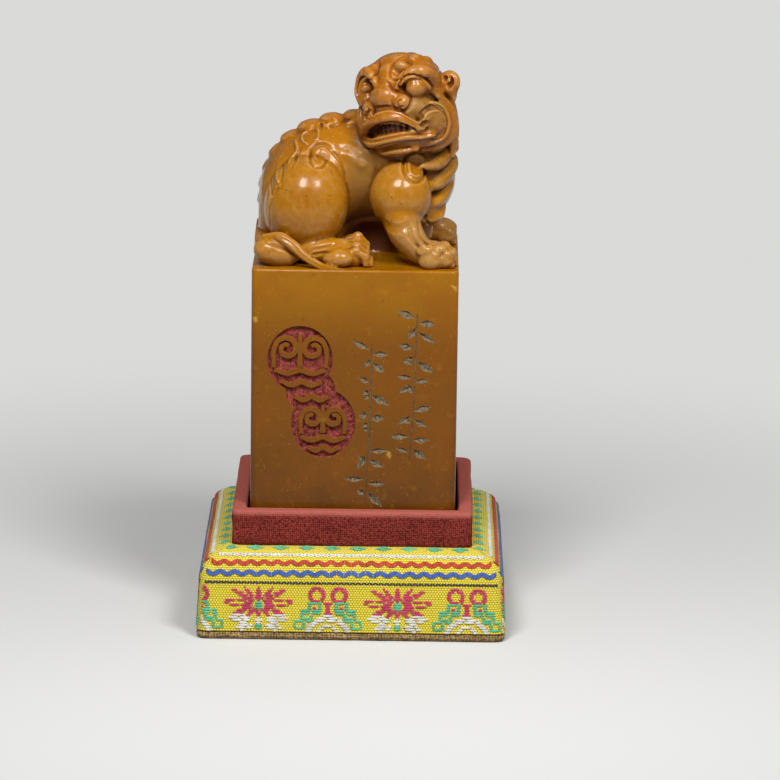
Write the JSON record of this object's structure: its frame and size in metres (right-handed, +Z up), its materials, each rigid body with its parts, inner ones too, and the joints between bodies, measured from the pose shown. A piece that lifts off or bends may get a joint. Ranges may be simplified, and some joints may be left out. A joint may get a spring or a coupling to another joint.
{
  "type": "carved stone seal in a display stand",
  "caption": "Square stone seal with a crouching beast carved on top, lifted out of a cloth tray on a padded brocade plinth.",
  "frame": {"origin": "on the table, under the middle of the plinth", "axes": "+Z up, -Y towards the carved front of the block, +X the way the beast's body faces"},
  "size_m": [0.0676, 0.0676, 0.1256],
  "materials": {
    "stone": "waxed translucent amber soapstone, soft gloss",
    "red_cloth": "plain-woven matt cotton",
    "brocade": "yellow silk brocade with coloured floats",
    "linen": "coarse tan linen",
    "wadding": "cotton wadding",
    "board": "grey pasteboard"
  },
  "bodies": {
    "stand": {"bottom_cloth": "linen", "bottom_board": "board", "plinth_board_front": "board", "plinth_board_back": "board", "plinth_board_left": "board", "plinth_board_right": "board", "plinth_top_board": "board", "wadding": "wadding", "brocade_band_front": "brocade", "brocade_band_right": "brocade", "brocade_band_back": "brocade", "brocade_band_left": "brocade", "tray_floor_board": "board", "tray_floor_pad": "red_cloth", "tray_board_front": "board", "tray_board_back": "board", "tray_board_left": "board", "tray_board_right": "board", "tray_wall_cloth": "red_cloth"},
    "seal": {"seal_stone": "stone"}
  },
  "joints": [
    {"name": "seal_lift", "type": "slide", "parent": "stand", "child": "seal", "axis": [0, 0, 1], "range_m": [0, 0.03]}
  ]
}
